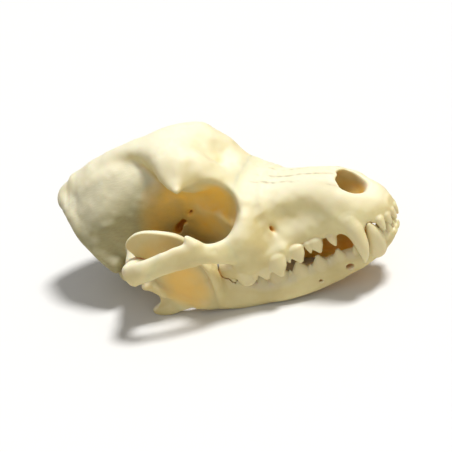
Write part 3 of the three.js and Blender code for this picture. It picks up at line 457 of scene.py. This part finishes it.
def makeJaw():
    j = jawShape
    field = newField()
    middle, top, bottom, halfThick = [curve(j[k]) for k in ("middle", "top", "bottom", "halfThick")]
    x0, x1 = j["reach"]
    n = j["roundness"]

    def body(x, y, z):
        xi = np.clip(x, x0, x1)
        mid, half = (top(xi) + bottom(xi)) / 2, (top(xi) - bottom(xi)) / 2
        u, v = np.abs(y - middle(xi)) / halfThick(xi), np.abs(z - mid) / half
        g = (u ** n + v ** n) ** (1 / n)
        slope = np.hypot(u / halfThick(xi), v / half) / np.maximum(g, 0.05)  # kept off 0 in the middle
        return np.maximum((g - 1) / np.maximum(slope, 0.08), np.maximum(x - x1, x0 - x))

    add(field, ((x0, 0, -30), (x1, 42, 1), body), 3)
    ramus = sheet(j["ramus"], lambda x, z: middle(x) + j["ramusLean"] * (z - j["ramusFoot"]),
                  lambda x, z: j["ramusThick"] - j["ramusThinning"] * z)
    add(field, ramus, 5)
    add(field, bar(j["ridge"], (1, 0, 0)), 3)
    add(field, bar(j["lowerRidge"]), 3)
    carve(field, ellipsoid(*j["muscleHollow"]), 3)
    add(field, bar(j["condyle"]), 3)
    add(field, bar(j["hook"]), 3)
    add(field, bar(j["innerSwelling"]), 4)
    for hole in j["chinHoles"]:
        carve(field, bar(hole), 1)
    return field


cranium = makeCranium()
print("cranium shaped")
upperCrowns = makeTeeth(upperTeeth)
lowerCrowns = makeTeeth([*lowerTeeth, lowerCanine])
jaw = makeJaw()
print("jaw and teeth shaped")

gap = jawShape["clearance"]
cranium = np.maximum(blendMin(cranium, upperCrowns, 1), gap - makeTeeth([lowerCanine]))
jaw = np.maximum(blendMin(jaw, lowerCrowns, 1), gap - cranium)

# From here on both sides are held, because bone is never quite the same left and right.
relief = {
    "swells": [(9, 0.28, 11), (4, 0.1, 12)],  # mm from swell to swell, mm deep, seed
    "jawShare": 0.6,  # of the swells' depth
    "sutureWave": (2.6, 0.45, 13),
    "soften": 1.3,  # mm over which creases between forms are evened out
    "toothEdge": (0.5, 2),  # mm from a crown where swells start, and mm more to their full depth
    "offFloor": 0.02,  # mm
}


def bothSides(half):
    return np.concatenate([half[:, :0:-1], half], axis=1)


x = axes[0][:, None, None]
y = np.concatenate([-axes[1][:0:-1], axes[1]])[None, :, None]
z = axes[2][None, None, :]
fullCounts = (x.size, y.size, z.size)


def ripple(size, depth, seed):  # smooth random swells
    field = np.random.default_rng(seed).standard_normal([int(n * step / size) + 3 for n in fullCounts])
    for axis, n in enumerate(fullCounts):
        at = np.arange(n) * step / size
        i = at.astype(int)
        t = at - i
        t = (t * t * (3 - 2 * t)).reshape([-1 if a == axis else 1 for a in range(3)])
        field = np.take(field, i, axis) * (1 - t) + np.take(field, i + 1, axis) * t
    return (depth * field).astype(np.float32)


def smear(field, radius):  # the mean of the samples within a cube
    n = int(round(radius / step))
    for axis in range(3):
        pad = [(n + 1, n) if a == axis else (0, 0) for a in range(3)]
        total = np.cumsum(np.pad(field, pad, mode="edge"), axis, dtype=np.float64)
        size = field.shape[axis]
        upper = np.take(total, np.arange(2 * n + 1, 2 * n + 1 + size), axis)
        field = ((upper - np.take(total, np.arange(size), axis)) / (2 * n + 1)).astype(np.float32)
    return field


swells = sum(ripple(*s) for s in relief["swells"])
upperEnamel, lowerEnamel = bothSides(upperCrowns), bothSides(lowerCrowns)
edge, growth = relief["toothEdge"]
onBone = [np.clip((e - edge) / growth, 0, 1) for e in (upperEnamel, lowerEnamel)]
cranium = bothSides(cranium)
cranium += (smear(cranium, relief["soften"]) - cranium + swells) * onBone[0]
jaw = bothSides(jaw) + swells * relief["jawShare"] * onBone[1]

noseUp = math.radians(pose["noseUp"])
overFloor = x * math.sin(noseUp) + z * math.cos(noseUp) + pose["lift"]
jaw = np.maximum(jaw, relief["offFloor"] - overFloor)
print("both sides grown")

shelter = {"fine": (1.3, 1.3), "deep": (7, 5)}  # mm that the bone is smeared over, twice
filled = np.clip(0.5 - np.minimum(cranium, jaw) / step, 0, 1)
fine, deep = [smear(smear(filled, first), second) for first, second in shelter.values()]
print("hollows measured")

firstSample = np.array([x.flat[0], y.flat[0], z.flat[0]])


def cellOf(points):
    return np.clip(((points - firstSample) / step).astype(int), 0, np.array(fullCounts) - 2)


def sample(field, points):  # the field's value at points given in mm
    i = cellOf(points)
    t = (points - firstSample) / step - i
    total = 0
    for corner in np.ndindex(2, 2, 2):
        weight = np.prod(np.where(corner, t, 1 - t), axis=1)
        total = total + weight * field[tuple((i + corner).T)]
    return total


turn = Matrix.Rotation(-noseUp, 3, "Y")
place = Vector((pose["slideX"], 0, pose["lift"]))


def largestShell(count, quads):  # leaves out loose crumbs: each corner takes the lowest name near it
    label = np.arange(count)
    while True:
        low = label[quads].min(1)
        new = label.copy()
        for c in range(4):
            np.minimum.at(new, quads[:, c], low)
        new = new[new]
        if (new == label).all():
            break
        label = new
    names, sizes = np.unique(label[quads[:, 0]], return_counts=True)
    return quads[label[quads[:, 0]] == names[sizes.argmax()]]


surfaceMarks = {
    "wall": {  # the rough wall that the chewing muscle was attached to
        "top": [(-4, 58), (10, 64), (40, 71), (56, 71), (69, 63), (78, 56)],
        "foot": 8,
        "front": 86,
        "halfWidth": 36,
        "fade": (4, 8, 8, 3)},  # mm over which it ends at the top, foot, front and side
    "sutures": [
        [(149, 9, 34.8), (154, 9, 33), (159, 9, 30.5), (164, 9, 28.4), (168, 9, 26.2)],
        [(146, 8, 35), (136, 6.5, 36.2), (122, 7, 39), (110, 8.5, 43)],
        [(109, 0, 46), (120, 0, 38.4), (140, 0, 35), (161, 0, 31)],
        [(101, 36, 13), (98, 37, 10), (95.6, 38, 6.7)]],
    "sutureWidth": 0.55,  # mm
    "sutureJitter": 0.3,  # mm
    "mouth": {"top": 3, "front": 174, "inside": 0.5},  # golden between the jaws (a yellow stain with painted warm glow and shade), mm in from their middle
    "stainAndShadePlaces": [  # centre, radii and strength of the golden places (a yellow stain with painted warm shade and glow), and the strength where they lie open
        ((76, 12, 36), (34, 24, 27), 1, 0), ((97, 22, 40), (14, 16, 20), 1, 0),
        ((69, 40, 4), (16, 6, 18), 0.9, 0.8), ((164, 0, 22), (22, 12, 17), 1, 0),
        ((176, 8, -1), (6, 8, 6), 0.5, 0), ((64, 40, 30), (16, 4, 12), 0.45, 0.8)],
    "stainAndShadeEdge": 1.5,
    "sheltered": (0.38, 0.52),  # how closed in a place is where the golden stain and its painted shade start, and where they are full
}


def grainHere(points):  # 1 on the rough wall
    wall = surfaceMarks["wall"]
    px, py, pz = points[:, 0], np.abs(points[:, 1]), points[:, 2]
    top, foot, front, side = wall["fade"]
    within = np.clip((np.interp(px, *zip(*wall["top"])) - pz) / top + 0.5, 0, 1)
    rooms = ((wall["halfWidth"] - py, side), (pz - wall["foot"], foot), (wall["front"] - px, front))
    for room, edge in rooms:
        within = within * np.clip(room / edge, 0, 1)
    return within


# the golden places: a yellow stain between the jaws and in the hollows, which also paints the warm shade
# and glow that gather there
def stainAndShadeHere(points, sheltered):
    px, py, pz = points[:, 0], np.abs(points[:, 1]), points[:, 2]
    mouth = surfaceMarks["mouth"]
    stainAndShade = np.clip(curve(jawShape["middle"])(px) - mouth["inside"] - py, 0, 1)
    stainAndShade *= np.clip(mouth["top"] - pz, 0, 1) * np.clip((mouth["front"] - px) / 4, 0, 1)
    start, full = surfaceMarks["sheltered"]
    closed = np.clip((sheltered - start) / (full - start), 0, 1)
    for centre, radii, strength, least in surfaceMarks["stainAndShadePlaces"]:
        inside = 1 - ((np.stack([px, py, pz], 1) - centre) ** 2 / np.square(radii)).sum(1)
        inside = np.clip(inside * surfaceMarks["stainAndShadeEdge"], 0, 1)
        stainAndShade = np.maximum(stainAndShade, inside * strength * np.maximum(closed, least))
    return stainAndShade


def sutureHere(points):
    best = np.full(len(points), np.inf)
    at = points * [1, 0, 1] + np.abs(points) * [0, 1, 0]
    waves = np.sin(points @ [[2.1, 0.7, 1.7], [1.3, 2.3, 0.9], [0.8, 1.9, 2.6]])  # radians for each mm
    at = at + surfaceMarks["sutureJitter"] * waves
    for line in surfaceMarks["sutures"]:
        for p, q in zip(np.array(line[:-1], float), np.array(line[1:], float)):
            t = np.clip(((at - p) @ (q - p)) / ((q - p) @ (q - p)), 0, 1)
            away = (at - p - t[:, None] * (q - p)) * [1, 0.8, 0.8]
            best = np.minimum(best, np.linalg.norm(away, axis=1))
    return np.exp(-(best / surfaceMarks["sutureWidth"]) ** 2)


def slopes(field, points):
    reach = step / 2 * np.eye(3)
    return np.stack([sample(field, points + r) - sample(field, points - r) for r in reach], 1) / step


def crossed(field, points):  # whether the field changes sign in the cell around each point
    i = cellOf(points)
    around = [field[tuple((i + corner).T)] for corner in np.ndindex(2, 2, 2)]
    return (np.min(around, 0) < 0) & (np.max(around, 0) > 0)


# The corners of a cut go exactly on the bone's surface, so no groove is seen.
def meetEdges(points, surface, cut):
    reach = 0.6  # mm that a corner may move
    near = np.flatnonzero(crossed(surface, points) & crossed(cut, points))
    at = points[near]
    for _ in range(4):
        a, b = sample(surface, at), sample(cut, at)
        da, db = slopes(surface, at), slopes(cut, at)
        aa, bb, ab = (da * da).sum(1), (db * db).sum(1), (da * db).sum(1)
        area = np.maximum(aa * bb - ab * ab, 0.1)
        at = at - da * ((a * bb - b * ab) / area)[:, None] - db * ((b * aa - a * ab) / area)[:, None]
    points[near] = np.clip(at, points[near] - reach, points[near] + reach)


def growBone(name, surface, cut, enamel, material):
    grid = openvdb.FloatGrid(sampling["far"])
    grid.copyFromArray(np.ascontiguousarray(np.maximum(surface, cut)))
    points, quads = grid.convertToQuads(0.0)
    quads = largestShell(len(points), quads)
    used, quads = np.unique(quads, return_inverse=True)
    quads = quads.reshape(-1, 4)
    points = points[used] * step + firstSample
    meetEdges(points, surface, cut)
    world = (points @ np.array(turn).T + np.array(place)) / 1000
    onSurface = sample(surface, points) > -0.3  # mm; the rest lies on the cut
    outward = np.where(onSurface[:, None], slopes(surface, points), slopes(cut, points))
    outward /= np.maximum(np.linalg.norm(outward, axis=1, keepdims=True), 1e-6)
    mesh = bpy.data.meshes.new(name)
    mesh.from_pydata(world.tolist(), [], quads.tolist())
    mesh.polygons.foreach_set("use_smooth", [True] * len(quads))
    sheltered = sample(deep, points)
    marks = {
        "hollow": sample(fine, points),
        "deep": sheltered,
        "muscle": grainHere(points),
        "stainAndShade": stainAndShadeHere(points, sheltered),
        "facingUp": np.clip(outward[:, 2] * 1.3 - 0.2, 0, 1),  # faces up, where the bone is painted paler as if lit from above
        "suture": sutureHere(points),
        "enamel": np.clip(0.5 - sample(enamel, points) / 0.8, 0, 1),
    }
    for label, values in marks.items():
        mesh.attributes.new(label, "FLOAT", "POINT").data.foreach_set("value", values.astype(np.float32))
    mesh.normals_split_custom_set_from_vertices((outward @ np.array(turn).T).tolist())
    mesh.materials.append(material)
    piece = bpy.data.objects.new(name, mesh)
    bpy.context.scene.collection.objects.link(piece)
    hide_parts(name)
    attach(piece, "root")
    print("grown", name, len(quads) * 2, "triangles")


def linear(hexColour):  # sRGB hex to linear
    channels = [int(hexColour[i:i + 2], 16) / 255 for i in (1, 3, 5)]
    return (*[c / 12.92 if c <= 0.04045 else ((c + 0.055) / 1.055) ** 2.4 for c in channels], 1)


def addNode(tree, kind, settings=None, output=0, **sockets):  # makes a node and gives one of its outputs
    node = tree.nodes.new(kind)
    for key, value in (settings or {}).items():
        setattr(node, key, value)
    for name, value in sockets.items():
        socket = node.inputs[int(name[1:])] if name[1:].isdigit() else node.inputs[name]
        if isinstance(value, bpy.types.NodeSocket):
            tree.links.new(value, socket)
        else:
            socket.default_value = value
    return node.outputs[output]


boneFinish = {
    "ivory": "#D6C993",
    "straw": "#C5B37A",
    "paintedTopLight": "#F0E9CA",
    "gold": "#EDBB4A",
    # painted light: drawn on the tops that face up, as if lit
    "amber": "#DB993E",
    # gold and amber: a yellow patina in the hollows, with painted shade there as well
    "paintedWallShade": "#928A5C",
    "crack": "#8F7C50",
    # painted shade: the temple's rough wall is drawn darker, as if it lay in shade
    "enamel": "#D8CBA0",
    "patterns": {  # mm from patch to patch, fineness
        "clouds": (24, 4), "blotches": (13, 3), "topLightPatches": (30, 3), "tints": (8, 3),
        "breaks": (4, 3), "specks": (3, 3)},
    "layers": [  # colour, its mark, from and to which values, a pattern, from and to, its share there
        # painted shade on the rough wall at the temple
        ("paintedWallShade", "muscle", (0, 1), "blotches", (0.3, 0.62), (0.75, 1)),
        ("crack", "muscle", (0, 1), "fibres", (0.45, 0.7), (0, 0.45)),
        # painted light: paler where the bone faces up
        ("paintedTopLight", "facingUp", (0, 1), "topLightPatches", (0.3, 0.5), (0.75, 1)),
        # a yellow stain with painted warm shade and glow, between the jaws and in the hollows
        ("gold", "stainAndShade", (0, 1), "tints", (0.3, 0.6), (0.75, 1)),
        # painted shade in the closed-in places, over a yellow patina: golden, and amber where they are
        # most closed in
        ("gold", "deep", (0.58, 0.76), "tints", (0.3, 0.6), (0.75, 1)),
        ("amber", "deep", (0.72, 0.9), "tints", (0, 1), (1, 1)),
        ("amber", "hollow", (0.56, 0.8), "tints", (0, 1), (0.8, 0.8)),
        ("crack", "suture", (0, 1), "breaks", (0.35, 0.6), (0.35, 0.6)),
        ("enamel", "enamel", (0, 1), "specks", (0, 1), (1, 1)),
        ("ivory", "enamel", (0, 1), "specks", (0.4, 0.7), (0, 1))],
    "patternEdges": (0.35, 0.65),  # a noise pattern lies mostly between these
    "fibreLean": 35,  # degrees that the muscle's fibres lean forwards
    "fibreSize": 1.1,  # mm
    "fibreStretch": (0.28, 1, 1),
    "grainSize": 0.7,  # mm
    "poreSpacing": 2.2,  # mm
    "poreSize": (0.06, 0.14),  # of the spacing, at the bottom and at the rim
    "roughness": (0.5, 0.66),
    "enamelRoughness": 0.3,
    "glow": 0.3,
    "glowSpread": (1, 0.55, 0.25),  # red goes furthest in bone
    "glowDepth": 0.006,  # metres that red light travels in the bone
    "bump": 0.6,
    "reliefDepth": 0.0005,  # metres; the heights below are shares of it
    "grainHeight": 0.16,
    "poreHeight": 0.08,
    "fibreHeight": (0.05, 0.55),  # elsewhere, and on the rough wall
    "enamelHeight": 0.15,
}


# Degreased and bleached bone: matt ivory, golden where it is hollow (a yellow stain with painted warm
# shade and glow), painted paler where it faces up and painted darker on the temple's rough wall, with
# glossier enamel.
def makeBone():
    b = boneFinish
    material = bpy.data.materials.new("bleached bone and enamel")
    material.use_nodes = True
    tree = material.node_tree
    bsdf = tree.nodes["Principled BSDF"]
    low, high = b["patternEdges"]
    place = addNode(tree, "ShaderNodeTexCoord", output="Object")
    mm = addNode(tree, "ShaderNodeMapping", Vector=place, Rotation=(0, noseUp, 0),
                 Scale=(1000, 1000, 1000))  # the skull's own frame, in mm
    along = addNode(tree, "ShaderNodeMapping", Vector=mm, Rotation=(0, math.radians(b["fibreLean"]), 0),
                    Scale=b["fibreStretch"])
    pattern = {name: addNode(tree, "ShaderNodeTexNoise", Vector=mm, Scale=1 / size, Detail=detail)
               for name, (size, detail) in b["patterns"].items()}
    pattern["fibres"] = addNode(tree, "ShaderNodeTexNoise", Vector=along, Scale=1 / b["fibreSize"],
                                Detail=4)
    grains = addNode(tree, "ShaderNodeTexNoise", Vector=mm, Scale=1 / b["grainSize"], Detail=2)
    mark = {name: addNode(tree, "ShaderNodeAttribute", {"attribute_name": name}, "Fac")
            for name in ("muscle", "facingUp", "stainAndShade", "deep", "hollow", "suture", "enamel")}
    clouds = addNode(tree, "ShaderNodeMapRange", i0=pattern["clouds"], i1=low, i2=high)
    colour = addNode(tree, "ShaderNodeMix", {"data_type": "RGBA"}, 2, i0=clouds, i6=linear(b["ivory"]),
                     i7=linear(b["straw"]))
    for colourName, where, (off, full), name, (start, end), (least, most) in b["layers"]:
        there = addNode(tree, "ShaderNodeMapRange", i0=mark[where], i1=off, i2=full)
        share = addNode(tree, "ShaderNodeMapRange", i0=pattern[name], i1=start, i2=end, i3=least,
                        i4=most)
        share = addNode(tree, "ShaderNodeMath", {"operation": "MULTIPLY"}, i0=there, i1=share)
        colour = addNode(tree, "ShaderNodeMix", {"data_type": "RGBA"}, 2, i0=share, i6=colour,
                         i7=linear(b[colourName]))
    tree.links.new(colour, bsdf.inputs["Base Color"])
    bsdf.inputs["Subsurface Weight"].default_value = b["glow"]
    bsdf.inputs["Subsurface Radius"].default_value = b["glowSpread"]
    bsdf.inputs["Subsurface Scale"].default_value = b["glowDepth"]

    smooth, rough = b["roughness"]
    sheen = addNode(tree, "ShaderNodeMapRange", i0=grains, i1=low, i2=high, i3=smooth, i4=rough)
    sheen = addNode(tree, "ShaderNodeMix", i0=mark["enamel"], i2=sheen, i3=b["enamelRoughness"])
    tree.links.new(sheen, bsdf.inputs["Roughness"])

    bottom, rim = b["poreSize"]
    smooth, rough = b["fibreHeight"]
    cells = addNode(tree, "ShaderNodeTexVoronoi", Vector=mm, Scale=1 / b["poreSpacing"])
    height = addNode(tree, "ShaderNodeMapRange", i0=cells, i1=bottom, i2=rim, i4=b["poreHeight"])
    ridges = addNode(tree, "ShaderNodeMapRange", i0=mark["muscle"], i3=smooth, i4=rough)
    for wave, depth in ((grains, b["grainHeight"]), (pattern["fibres"], ridges)):
        height = addNode(tree, "ShaderNodeMath", {"operation": "MULTIPLY_ADD"}, i0=wave, i1=depth,
                         i2=height)
    bare = addNode(tree, "ShaderNodeMapRange", i0=mark["enamel"], i3=1, i4=b["enamelHeight"])
    height = addNode(tree, "ShaderNodeMath", {"operation": "MULTIPLY"}, i0=height, i1=bare)
    bump = addNode(tree, "ShaderNodeBump", Strength=b["bump"], Distance=b["reliefDepth"], Height=height)
    tree.links.new(bump, bsdf.inputs["Normal"])
    return material


bleachedBone = makeBone()

wave = ripple(*relief["sutureWave"])
side = np.abs(y)
sutureCuts = {  # planes between the bones: a point in mm, and the direction in which they rise
    "face": ((97, 0, 22), (0.861, 0, -0.509)),
    "cheekFront": ((101.5, 33.5, 0), (0.81, -0.587, 0)),
    "cheekInner": ((101.5, 33.5, 0), (-0.474, -0.881, 0)),
    "cheekRoot": ((95, 37, 0), (-0.0816, -1, 0)),
    "cheekRear": ((46, 0, 9), (-0.7143, 0, 0.6993)),
    "cheekFoot": ((46, 0, 9), (0, 0, -1)),
    "rearWave": 0.6,  # of the suture's wave
    "chinGap": 0.1,  # mm to each side of the middle
}


def plane(name):
    (px, py, pz), (nx, ny, nz) = sutureCuts[name]
    return nx * (x - px) + ny * (side - py) + nz * (z - pz)


faceCut = plane("face") + wave  # above 0 in the snout
rear = plane("cheekRear") + wave * sutureCuts["rearWave"]
inner = np.minimum(plane("cheekInner"), plane("cheekRoot"))
cheekCut = np.maximum(plane("cheekFront") + wave, inner)  # below 0 in the cheekbone
cheekCut = np.maximum(cheekCut, np.maximum(rear, plane("cheekFoot")))
chinCut = sutureCuts["chinGap"] + 0 * jaw
growBone("braincase", cranium, np.maximum(-cheekCut, faceCut), upperEnamel, bleachedBone)
growBone("snout", cranium, np.maximum(-cheekCut, -faceCut), upperEnamel, bleachedBone)
growBone("cheekbone_left", cranium, np.maximum(cheekCut, -y), upperEnamel, bleachedBone)
growBone("cheekbone_right", cranium, np.maximum(cheekCut, y), upperEnamel, bleachedBone)
growBone("jaw_left", jaw, chinCut - y, lowerEnamel, bleachedBone)
growBone("jaw_right", jaw, chinCut + y, lowerEnamel, bleachedBone)

stage = {
    "floorSize": 6.0,
    "floor": "#E4E3E0",
    "sunFrom": (0.33, 0.14, 0.93),
    "sunStrength": 3.3,
    "sunWidth": 13.0,  # degrees
    "skyColour": "#F7F6F6",
    "skyStrength": 0.32,
    "fillFrom": (0.3, -0.75, 0.5),  # a faint wide light from the front, which reaches into the hollows
    "fillStrength": 0.4,
    "fillWidth": 70.0,  # degrees
}


def makeStage():
    bpy.ops.mesh.primitive_plane_add(size=stage["floorSize"])
    floor = bpy.context.object
    floor.name = "floor"
    paper = bpy.data.materials.new("white paper")
    paper.use_nodes = True
    shader = paper.node_tree.nodes["Principled BSDF"]
    shader.inputs["Base Color"].default_value = linear(stage["floor"])
    shader.inputs["Roughness"].default_value = 0.9
    floor.data.materials.append(paper)
    for name in ("sun", "fill"):
        light = bpy.data.objects.new(name, bpy.data.lights.new(name, "SUN"))
        light.data.energy = stage[name + "Strength"]
        light.data.angle = math.radians(stage[name + "Width"])
        light.rotation_euler = Vector(stage[name + "From"]).to_track_quat("Z", "Y").to_euler()
        bpy.context.scene.collection.objects.link(light)
    world = bpy.data.worlds.new("sky")
    world.use_nodes = True
    background = world.node_tree.nodes["Background"]
    background.inputs["Color"].default_value = linear(stage["skyColour"])
    background.inputs["Strength"].default_value = stage["skyStrength"]
    bpy.context.scene.world = world
    bpy.context.scene.view_settings.view_transform = "Standard"


makeStage()

view = {
    "eye": (0.30525, -0.62749, 0.45731),  # metres
    "aim": (-0.00685, 0.01336, 0.02474),
    "roll": -14.84,  # degrees
    "lens": 114.41,  # mm
    "frame": 36,  # mm, square
}


def makeCamera():
    camera = bpy.data.objects.new("camera", bpy.data.cameras.new("camera"))
    camera.data.lens = view["lens"]
    camera.data.sensor_width = view["frame"]
    eye, aim = Vector(view["eye"]), Vector(view["aim"])
    facing = (aim - eye).to_track_quat("-Z", "Y").to_matrix().to_4x4()
    roll = Matrix.Rotation(math.radians(view["roll"]), 4, "Z")
    camera.matrix_world = Matrix.Translation(eye) @ facing @ roll
    bpy.context.scene.collection.objects.link(camera)
    bpy.context.scene.camera = camera


makeCamera()

print("stage set")
